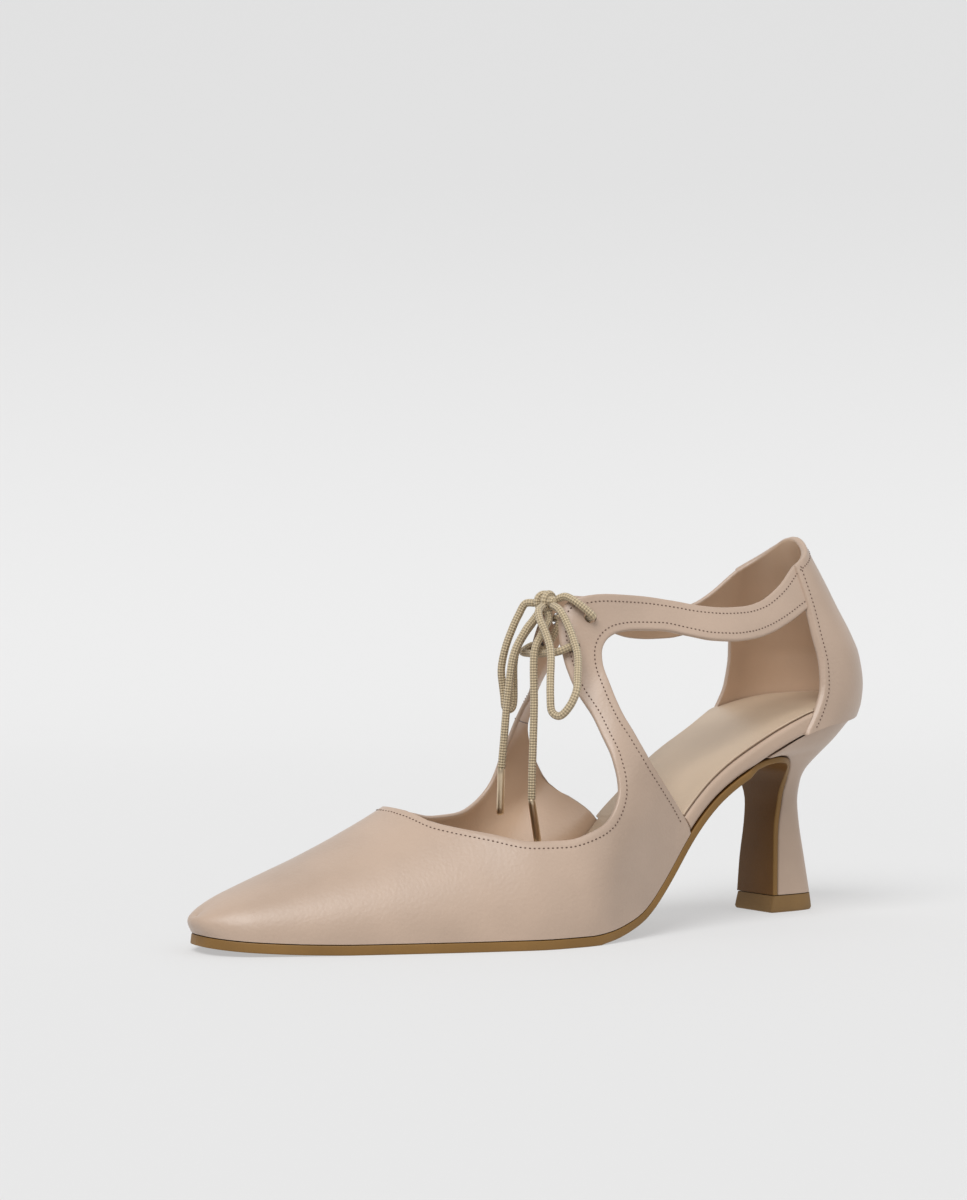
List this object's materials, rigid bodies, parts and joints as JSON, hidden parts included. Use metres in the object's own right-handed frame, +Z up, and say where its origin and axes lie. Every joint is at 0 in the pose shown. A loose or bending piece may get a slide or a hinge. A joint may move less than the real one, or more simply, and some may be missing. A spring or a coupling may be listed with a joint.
{
  "type": "lace up heel shoe",
  "caption": "Left lace up heel: pointed closed toe, cut out sides, two arms laced over the instep with a bow, closed counter and a slim flared heel",
  "frame": {"origin": "on the floor at the centre of the heel's tip, on the shoe's middle line", "axes": "+X runs from toe to heel along the shoe, +Y to the inner side of the foot, +Z up from the floor"},
  "size_m": [0.2472, 0.081, 0.1287],
  "materials": {
    "upper_leather": "smooth matte leather with folded edges",
    "board_wrap": "smooth leather wrapped over the board's edge",
    "sock_leather": "matte lining leather",
    "sole_rubber": "matte tan sole",
    "heel_wrap": "leather wrapped over the heel block",
    "top_piece_rubber": "matte",
    "lace_cotton": "round braid",
    "aglet_metal": "satin"
  },
  "bodies": {
    "root": {"upper": "upper_leather", "insole_board": "board_wrap", "insole_sock": "sock_leather", "outsole": "sole_rubber", "heel_block": "heel_wrap", "top_piece": "top_piece_rubber", "lace_crossings": "lace_cotton", "lace_knot": "lace_cotton", "lace_loop_lateral": "lace_cotton", "lace_loop_medial": "lace_cotton", "lace_end_lateral": "lace_cotton", "lace_end_medial": "lace_cotton", "aglet_lateral": "aglet_metal", "aglet_medial": "aglet_metal"}
  },
  "joints": []
}
